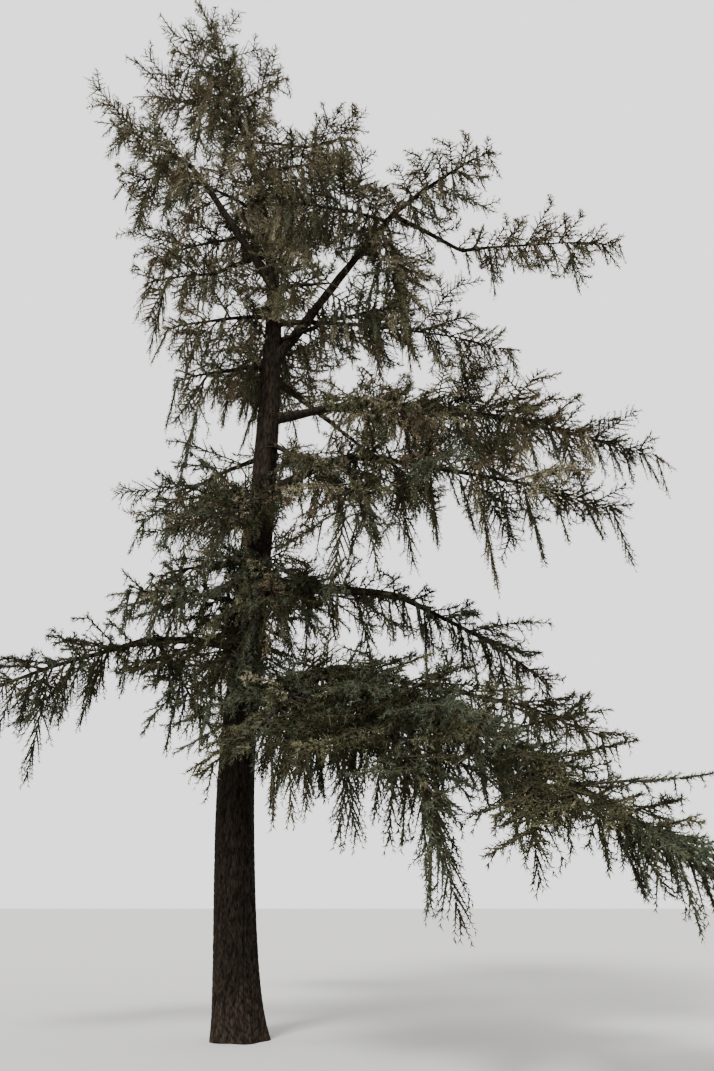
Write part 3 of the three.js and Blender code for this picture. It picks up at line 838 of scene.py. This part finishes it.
onward, falling = plumes.take(~weeping), plumes.take(weeping)
forks = side_shoots(
    onward.take(onward.length > FORKING_LENGTH), spacing=0.28, fewest=2, first=0.12, last=0.78,
    angles=(60, 44), reach=(0.62, 0.42), sag=0.12, lift=0.2, radius=0.015, flat=0.3,
)
print("forks of plumes:", len(forks), "of %.0f m" % forks.length.sum())
onward = together([onward, forks])
branches = together([
    side_shoots(
        onward, spacing=0.056, fewest=6, first=0.06, last=0.97,
        angles=(60, 34), reach=(0.46, 0.15), sag=0.14, lift=0.2, radius=0.017, flat=0.3,
    ),
    side_shoots(
        onward, spacing=0.22, fewest=2, first=0.15, last=0.85,
        angles=(80, 60), reach=(0.42, 0.24), sag=0.3, lift=0.0, radius=0.017, droop=1.3,
    ),
    side_shoots(
        falling, spacing=0.068, fewest=5, first=0.06, last=0.97,
        angles=(42, 22), reach=(0.4, 0.15), sag=0.3, lift=0.1, radius=0.017, droop=0.25,
    ),
])
print("side shoots:", len(branches), "of %.0f m" % branches.length.sum())

# %% Finer shoots on the longer of them
BRANCHING_LENGTH = 0.38

fine = side_shoots(
    branches.take(branches.length > BRANCHING_LENGTH), spacing=0.13, fewest=2, first=0.25, last=0.85,
    angles=(52, 36), reach=(0.42, 0.26), sag=0.1, lift=0.2, radius=0.014, droop=0.1,
)
print("finer shoots:", len(fine), "of %.0f m" % fine.length.sum())

# %% [markdown]
# ## Clear of the limbs
#
# On the tree no shoot runs through a limb. A boolean would cut the shoots at the bark, but it is slow and
# leaves open ends. So a few points along each side shoot and finer shoot are tested, and one that would
# pierce the trunk or a bough, leave the tree's reach or hide bare wood is left out.

# %% Leave out what pierces a limb
WOOD_CLEARANCE = 0.015
TESTED_SHARES = (0.35, 0.7, 1.0)


def pierces(points):
    """True where a point lies in the trunk or a bough, or too near to it."""
    centre, radius = trunk_at(np.clip(points[:, 2], 0, TRUNK_TOP))
    hit = np.linalg.norm((points - centre)[:, :2], axis=1) < radius + WOOD_CLEARANCE
    hit &= points[:, 2] < TRUNK_TOP
    for name, line in bough_lines.items():
        foot = line.start
        axis = line.at(1) - foot
        share = np.clip((points - foot) @ axis / (axis @ axis), 0, 1)[:, None]
        girth = mix(BOUGHS[name].girth, BOUGHS[name].tip, share[:, 0])
        hit |= np.linalg.norm(points - line.at(share), axis=1) < girth + WOOD_CLEARANCE
    return hit


def clear(shoots):
    bad = np.zeros(len(shoots), bool)
    for share in TESTED_SHARES:
        points = shoots.at(share)
        bad |= pierces(points) | outside(points) | hides_wood(points)
    return shoots.take(~bad)


branches, fine = clear(branches), clear(fine)
print("kept:", len(branches), "side shoots and", len(fine), "finer ones")

# %% [markdown]
# ## Wood of the twigs
#
# Twigs and shoots are thin tapering tubes. An operator could make one, but fifty thousand calls take many
# minutes, so all tubes of a kind are one mesh, worked out at once from the arrays: a ring of corners at each
# step, faces between the rings, and a point at the tip. Three sides are enough at this thickness, and the
# shortest shoots go from one ring to a point.

# %% Tubes from arrays
STEEP = 0.9


def mesh_piece(name, vertices, faces, smooth=True):
    """One piece from arrays of corners and of faces with the same number of sides."""
    mesh = bpy.data.meshes.new(name)
    mesh.vertices.add(len(vertices))
    mesh.vertices.foreach_set("co", vertices.astype(np.float32).ravel())
    corners = faces.shape[1]
    mesh.loops.add(faces.size)
    mesh.loops.foreach_set("vertex_index", faces.astype(np.int32).ravel())
    mesh.polygons.add(len(faces))
    mesh.polygons.foreach_set("loop_start", np.arange(len(faces), dtype=np.int32) * corners)
    mesh.polygons.foreach_set("use_smooth", np.full(len(faces), smooth))
    mesh.update(calc_edges=True)
    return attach(placed(name, mesh), "root")


def tubes(shoots, steps, taper, sides):
    """Corners and triangles of a tube along every shoot: closed at its foot, and ending in a point."""
    upright = np.abs(shoots.heading[:, 2:3]) > STEEP
    side = unit(np.cross(shoots.heading, np.where(upright, ALONG_X, UP)))
    rings = []
    for share in steps:
        above = np.cross(shoots.tangent(share), side)
        radius = (shoots.radius * mix(1, taper, share))[:, None]
        for k in range(sides):
            angle = 2 * math.pi * k / sides
            rings.append(shoots.at(share) + radius * (math.cos(angle) * side + math.sin(angle) * above))
    corners = np.stack([*rings, shoots.at(1)], axis=1)
    tip = len(rings)
    triangles = [(0, k + 1, k) for k in range(1, sides - 1)]
    for first in range(0, tip, sides):
        for k in range(sides):
            a, b = first + k, first + (k + 1) % sides
            above_a, above_b = a + sides, b + sides
            triangles += [(a, b, tip)] if above_a >= tip else [(a, b, above_b), (a, above_b, above_a)]
    base = np.arange(len(shoots))[:, None, None] * corners.shape[1]
    return corners.reshape(-1, 3), (base + np.array(triangles)[None]).reshape(-1, 3)


def twig_wood(name, shoots, steps, taper, sides):
    corners, triangles = tubes(shoots, steps, taper, sides)
    return mesh_piece(name, corners, triangles)


# %% Twigs and shoots
TWIG_GIRTH = 0.5
TWIG_RADII = (0.012, 0.018)
LONG_SHOOT = 0.3

twigs = Shoots(
    start=twig_rows[:, 0:3],
    heading=twig_rows[:, 3:6],
    face=np.tile(UP, (len(twig_rows), 1)),
    length=twig_rows[:, 6],
    sag=twig_rows[:, 7],
    lift=np.zeros(len(twig_rows)),
    radius=np.clip(TWIG_GIRTH * twig_rows[:, 8], *TWIG_RADII),
    spray=np.zeros(len(twig_rows), int),
)
longer = branches.length > LONG_SHOOT
twig_pieces = [
    twig_wood("twigs", twigs, steps=(0, 0.35, 0.7), taper=0.5, sides=5),
    twig_wood("plume_axes", together([plumes, forks]), steps=(0, 0.35, 0.7), taper=0.35, sides=3),
    twig_wood("long_side_shoots", branches.take(longer), steps=(0, 0.5), taper=0.5, sides=3),
    twig_wood("short_side_shoots", branches.take(~longer), steps=(0,), taper=1, sides=3),
    twig_wood("fine_shoots", fine, steps=(0,), taper=1, sides=3),
]
print("wood:", {piece.name: len(piece.data.polygons) for piece in twig_pieces}, "triangles")

# %% [markdown]
# ## Needles
#
# A cedar's needles stand in tufts along the shoots, slim and leaning forward. Here a tuft is four blades,
# set by turns round its stretch of the shoot. They are larger than life, because real ones would take tens
# of millions. A blade is one triangle: a second one would double the count and show nothing.

# %% Tufts along the shoots
TUFT_SPACING = 0.048
BLADES = 4
BARE_FEET = (0.3, 0.2, 0.1, 0.12)  # shares without needles of plumes, forks, side shoots and finer ones


def tufts(shoots, first):
    """Place, axis, spray and share of every tuft: evenly spaced from the first share to the tip."""
    count = np.maximum(2, np.round(shoots.length * (1 - first) / TUFT_SPACING)).astype(int)
    owner = np.repeat(np.arange(len(shoots)), count)
    order = np.arange(len(owner)) - np.repeat(np.cumsum(count) - count, count)
    share = first + (1 - first) * (order + 1) / np.repeat(count, count)
    chosen = shoots.take(owner)
    return chosen.at(share), chosen.tangent(share), chosen.spray, share


places, axes, sprays, shares = (
    np.concatenate(parts)
    for parts in zip(*map(tufts, (plumes, forks, branches, fine), BARE_FEET))
)
print("tufts:", len(places), "needles:", BLADES * len(places))

# %% Blades of the tufts
NEEDLE_LENGTH = 0.062
NEEDLE_WIDTH = 0.015
NEEDLE_LEAN = math.radians(52)
LEAN_AT_TIP = 0.62
TURN_CHANCE = 0.35
LEAN_CHANCE = (0.8, 1.2)
LENGTH_CHANCE = (0.75, 1.15)
TWIST_CHANCE = 0.4


def blades(places, axes, shares):
    """The corners of every blade, three to a blade."""
    n = len(places)
    side = unit(np.cross(axes, rng.normal(0, 1, (n, 3))))
    above = np.cross(axes, side)
    corners = []
    for k in range(BLADES):
        angle = 2 * math.pi * k / BLADES + rng.uniform(-TURN_CHANCE, TURN_CHANCE, n)
        out = np.cos(angle)[:, None] * side + np.sin(angle)[:, None] * above
        around = np.cross(axes, out)
        lean = (NEEDLE_LEAN * mix(1.0, LEAN_AT_TIP, shares**6) * rng.uniform(*LEAN_CHANCE, n))[:, None]
        length = (NEEDLE_LENGTH * rng.uniform(*LENGTH_CHANCE, n))[:, None]
        foot = places + axes * (TUFT_SPACING * ((k + rng.uniform(0, 1, n)) / BLADES - 0.5))[:, None]
        tip = foot + length * (np.cos(lean) * axes + np.sin(lean) * out)
        twist = rng.normal(0, TWIST_CHANCE, n)[:, None]
        half = unit(around * twist + np.cross(around, tip - foot) / length) * NEEDLE_WIDTH / 2
        corners.append(np.stack([foot - half, foot + half, tip], axis=1))
    return np.concatenate(corners).reshape(-1, 3)


# %% [markdown]
# ## Tints
#
# Low boughs are blue-grey, the upper crown is browner, weeping shoots are darker, and the newest growth is
# pale. The near-black deep green, dealt out most in the low crown, is painted shade there. The pale tint is
# partly new growth and partly a painted highlight: it and the grey-green grow commoner towards the top. One
# material with a gradient over the height would look painted on. So each spray, a plume with its shoots, has
# one plain colour, drawn with odds that go from the low crown to the high one. Each tint is a piece of its
# own, as an export keeps one colour for each material.

# %% Deal the tints out by spray
TINTS = {
    # Near-black deep green is painted shade, most in the low crown. Pale is partly new growth and partly a
    # painted highlight, most at the top.
    "deep_green_painted_shade": dict(colour=(0.022, 0.023, 0.01), low=0.5, high=0.02, weeping=1.2),
    "blue_grey": dict(colour=(0.056, 0.067, 0.042), low=0.42, high=0.14, weeping=1),
    "grey_green": dict(colour=(0.096, 0.093, 0.05), low=0.16, high=0.36, weeping=1),
    "brown": dict(colour=(0.11, 0.082, 0.049), low=0.0, high=0.28, weeping=1.3),
    "pale": dict(colour=(0.2, 0.178, 0.115), low=0.0, high=0.48, weeping=0.75),
}
LOW_CROWN = 4
CROWN_SPAN = 10
MOST_TRIANGLES = 190000

# These odds paint shade into the low crown with the dark tint, and painted highlight into the top with the
# pale and grey-green ones.
height_share = np.clip((plumes.at(0.5)[:, 2] - LOW_CROWN) / CROWN_SPAN, 0, 1)
odds = np.stack([
    mix(tint["low"], tint["high"], height_share) * np.where(weeping, tint["weeping"], 1)
    for tint in TINTS.values()
], axis=1)
odds = np.cumsum(odds / odds.sum(axis=1, keepdims=True), axis=1)
tint_of = (rng.uniform(0, 1, len(plumes))[:, None] > odds).sum(axis=1)

needle_pieces = []
for index, name in enumerate(TINTS):
    chosen = np.flatnonzero(tint_of[sprays] == index)
    parts = max(1, math.ceil(len(chosen) * BLADES / MOST_TRIANGLES))
    for k, part in enumerate(np.array_split(chosen, parts)):
        corners = blades(places[part], axes[part], shares[part])
        faces = np.arange(len(corners)).reshape(-1, 3)
        piece = mesh_piece("needles_%s_%d" % (name, k + 1), corners, faces, smooth=False)
        needle_pieces.append((piece, name))
print({piece.name: len(piece.data.polygons) for piece, _ in needle_pieces})

# %% [markdown]
# ## Cones
#
# A few brown cones, as large as hens' eggs, stand upright on the plumes. Scales in a spiral would be truer,
# but from the ground a cone is a small barrel: a sphere with few sides, stretched. Its corners are repeated
# at every place in one array, because an export drops instances.

# %% Cones
CONES = 110
CONE_HEIGHT = 0.085
CONE_WIDTH = 0.05
LOWEST_CONE = 7
CONE_PLUME = 0.6
CONE_SHARES = (0.35, 0.75)
CONE_SIZES = (0.8, 1.15)

bm = bmesh.new()
bmesh.ops.create_uvsphere(bm, u_segments=8, v_segments=6, radius=0.5)
bmesh.ops.triangulate(bm, faces=bm.faces)
cone_corners = np.array([v.co for v in bm.verts]) * (CONE_WIDTH, CONE_WIDTH, CONE_HEIGHT)
cone_faces = np.array(sorted([v.index for v in face.verts] for face in bm.faces))
bm.free()
high = plumes.start[:, 2] > LOWEST_CONE
level_plumes = np.flatnonzero(~weeping & (plumes.length > CONE_PLUME) & high)
bearing = plumes.take(rng.choice(level_plumes, CONES, replace=False))
cone_places = bearing.at(rng.uniform(*CONE_SHARES, CONES)) + UP * CONE_HEIGHT * 0.5
sizes = rng.uniform(*CONE_SIZES, CONES)[:, None, None]
corners = (cone_places[:, None] + cone_corners[None] * sizes).reshape(-1, 3)
faces = (cone_faces[None] + np.arange(CONES)[:, None, None] * len(cone_corners)).reshape(-1, 3)
cones = mesh_piece("cones", corners, faces)
print("cones:", CONES, "with", len(faces), "triangles")

# %% [markdown]
# ## Finishes
#
# Bark is darkest in its fissures, a painted shade, and lightest on the plate crests, a painted highlight.
# The plates vary browner and lighter by a grain. Low on the trunk the foot is lightest, painted light, and
# from about one to three metres it is darkest, a painted shadow of the crown. A picture wrapped round the
# limbs would show seams and blur from near. Nodes have neither fault: the mesh's attribute gives the
# fissures, the height gives the foot, and a fine grain runs up the limb. The grain is a node group, because
# twigs and needles have it too.

# %% The grain group
GRAIN_STRETCH = 0.3
GRAIN_DETAIL = 6


def link(tree, *pairs):
    for source, target in pairs:
        tree.links.new(source, target)


def new_node(tree, kind, *settings):
    """A shader node of this kind, with some of its inputs set."""
    node = tree.nodes.new("ShaderNode" + kind)
    for name, value in settings:
        node.inputs[name].default_value = value
    return node


def grain_group():
    group = bpy.data.node_groups.new("grain", "ShaderNodeTree")
    group.interface.new_socket("Scale", in_out="INPUT", socket_type="NodeSocketFloat")
    group.interface.new_socket("Value", in_out="OUTPUT", socket_type="NodeSocketFloat")
    group_in, group_out = group.nodes.new("NodeGroupInput"), group.nodes.new("NodeGroupOutput")
    place = new_node(group, "TexCoord")
    stretch = new_node(group, "Mapping", ("Scale", (1, 1, GRAIN_STRETCH)))
    noise = new_node(group, "TexNoise", ("Detail", GRAIN_DETAIL))
    link(
        group,
        (place.outputs["Object"], stretch.inputs["Vector"]),
        (stretch.outputs["Vector"], noise.inputs["Vector"]),
        (group_in.outputs["Scale"], noise.inputs["Scale"]),
        (noise.outputs["Fac"], group_out.inputs["Value"]),
    )
    return group


grain = grain_group()
print("grain group:", len(grain.nodes), "nodes")


# %% Helpers for materials
def new_material(name, roughness, gloss=0.04):
    material = bpy.data.materials.new(name)
    material.use_nodes = True
    shader = material.node_tree.nodes["Principled BSDF"]
    shader.inputs["Roughness"].default_value = roughness
    shader.inputs["Specular IOR Level"].default_value = gloss
    return material, material.node_tree, shader


def grain_in(tree, scale):
    node = new_node(tree, "Group")
    node.node_tree = grain
    node.inputs["Scale"].default_value = scale
    return node.outputs["Value"]


def ramp_of(tree, value, stops):
    ramp = new_node(tree, "ValToRGB")
    elements = ramp.color_ramp.elements
    elements[0].position, elements[0].color = stops[0][0], (*stops[0][1], 1)
    elements[1].position, elements[1].color = stops[-1][0], (*stops[-1][1], 1)
    for position, colour in stops[1:-1]:
        elements.new(position).color = (*colour, 1)
    tree.links.new(value, ramp.inputs["Fac"])
    return ramp.outputs["Color"]


def multiplied(tree, a, b):
    node = new_node(tree, "Mix")
    node.data_type, node.blend_type = "RGBA", "MULTIPLY"
    node.inputs["Factor"].default_value = 1.0
    link(tree, (a, node.inputs["A"]), (b, node.inputs["B"]))
    return node.outputs["Result"]


# %% Bark
PLATE_TINTS = ((0.34, (0.009, 0.0068, 0.005)), (0.66, (0.04, 0.031, 0.0228)))
# Darker with fissure depth: painted shade in the cracks, and a painted highlight on the plate crests.
FISSURE_SHADE_CREST_HIGHLIGHT = ((0.0, (1, 1, 1)), (0.45, (0.72, 0.7, 0.68)), (1.0, (0.25, 0.23, 0.21)))
# Lightness by height: painted light on the foot, and a painted shadow of the crown from about one to three
# metres up.
FOOT_LIGHT_TRUNK_SHADE = ((0, 0.95), (0.65, 0.55), (0.88, 0.55), (1, 1))  # how low on the tree, and how light
PAINTED_LIGHT_BY_HEIGHT = tuple((share, (light,) * 3) for share, light in FOOT_LIGHT_TRUNK_SHADE)
PALER_BELOW = 9.0
PLATE_GRAIN = 24
BUMP_GRAIN = 60
BUMP_STRENGTH = 0.6
BUMP_DEPTH = 0.006


def bark_material():
    material, tree, shader = new_material("cedar_bark", 0.93)
    plates = ramp_of(tree, grain_in(tree, PLATE_GRAIN), PLATE_TINTS)
    depth = new_node(tree, "Attribute")
    depth.attribute_name = "fissure"
    # The fissure ramp darkens the colour: painted shade in the cracks, a painted highlight on the crests.
    skin = multiplied(tree, plates, ramp_of(tree, depth.outputs["Fac"], FISSURE_SHADE_CREST_HIGHLIGHT))
    place, split = new_node(tree, "TexCoord"), new_node(tree, "SeparateXYZ")
    # The height ramp is painted light: lightest at the foot, darkest from about one to three metres up, a
    # painted shadow of the crown.
    lowness = new_node(tree, "MapRange", ("From Min", PALER_BELOW), ("From Max", 0.0))
    painted_height_light = ramp_of(tree, lowness.outputs["Result"], PAINTED_LIGHT_BY_HEIGHT)
    bump = new_node(tree, "Bump", ("Strength", BUMP_STRENGTH), ("Distance", BUMP_DEPTH))
    link(
        tree,
        (place.outputs["Object"], split.inputs["Vector"]),
        (split.outputs["Z"], lowness.inputs["Value"]),
        (grain_in(tree, BUMP_GRAIN), bump.inputs["Height"]),
        (bump.outputs["Normal"], shader.inputs["Normal"]),
        (multiplied(tree, skin, painted_height_light), shader.inputs["Base Color"]),
    )
    return material


bark = bark_material()
limbs = [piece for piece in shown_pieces() if piece.name.endswith("_bark")]
for piece in limbs:
    piece.data.materials.append(bark)
print("limbs in bark:", len(limbs))

# %% [markdown]
# ## Twigs, cones and needles
#
# Young shoots are olive brown, twigs darker, cones a dull brown, and needles matt under a bloom of wax. A
# pattern would not be seen at this size, and a plain colour alone looks moulded. So one function makes them
# all from a plain colour that the grain turns a little lighter and darker.

# %% Plain colours with a grain
CONTRAST = 0.28
GRAIN_STOPS = (0.3, 0.7)


def plain_material(name, colour, roughness, scale):
    material, tree, shader = new_material(name, roughness)
    shades = [tuple(light * c for c in colour) for light in (1 - CONTRAST, 1 + CONTRAST)]
    tinted = ramp_of(tree, grain_in(tree, scale), tuple(zip(GRAIN_STOPS, shades)))
    tree.links.new(tinted, shader.inputs["Base Color"])
    return material


twig_material = plain_material("twig_bark", (0.03, 0.025, 0.02), roughness=0.9, scale=30)
shoot_material = plain_material("shoots", (0.042, 0.036, 0.021), roughness=0.85, scale=30)
for piece in twig_pieces:
    piece.data.materials.append(twig_material if piece.name == "twigs" else shoot_material)
cones.data.materials.append(plain_material("cones", (0.035, 0.022, 0.014), roughness=0.8, scale=40))
needle_materials = {
    name: plain_material("needles_" + name, tint["colour"], roughness=0.62, scale=3)
    for name, tint in TINTS.items()
}
for piece, name in needle_pieces:
    piece.data.materials.append(needle_materials[name])
print("materials:", sorted(m.name for m in bpy.data.materials if m.users))

# %% [markdown]
# ## Stage and light
#
# A plain pale floor lies at ground level. The photograph's sky is bright and overcast, and the tree stands
# dark before it. Lamps round the tree could imitate that, but an even pale world does it by itself: it shows
# white through the gaps and lights the tree from all round. One broad light gives the crown an upper side.

# %% Floor
FLOOR_SIZE = 400
FLOOR_COLOUR = (0.42, 0.415, 0.4, 1)

bm = bmesh.new()
bmesh.ops.create_grid(bm, x_segments=1, y_segments=1, size=FLOOR_SIZE)
floor_mesh = bpy.data.meshes.new("floor")
bm.to_mesh(floor_mesh)
bm.free()
floor = placed("floor", floor_mesh)
floor_material, _, floor_shader = new_material("floor", 0.95)
floor_shader.inputs["Base Color"].default_value = FLOOR_COLOUR
floor_mesh.materials.append(floor_material)
print("floor:", 2 * FLOOR_SIZE, "m wide")

# %% Sky and light
SKY_STRENGTH = 1.9
SUN_STRENGTH = 5.0
SUN_WIDTH = math.radians(15)
SUN_TURN = (math.radians(42), 0, math.radians(-30))

world = bpy.data.worlds.new("sky")
world.use_nodes = True
background = world.node_tree.nodes["Background"]
background.inputs["Color"].default_value = (1, 1, 1, 1)
background.inputs["Strength"].default_value = SKY_STRENGTH
bpy.context.scene.world = world

sun_data = bpy.data.lights.new("soft_sun", "SUN")
sun_data.energy = SUN_STRENGTH
sun_data.angle = SUN_WIDTH
sun = placed("soft_sun", sun_data)
sun.rotation_euler = SUN_TURN
print("lights:", [light.name for light in bpy.data.lights if light.users])

# %% [markdown]
# The dressed tree may stand only a little proud of its solids.
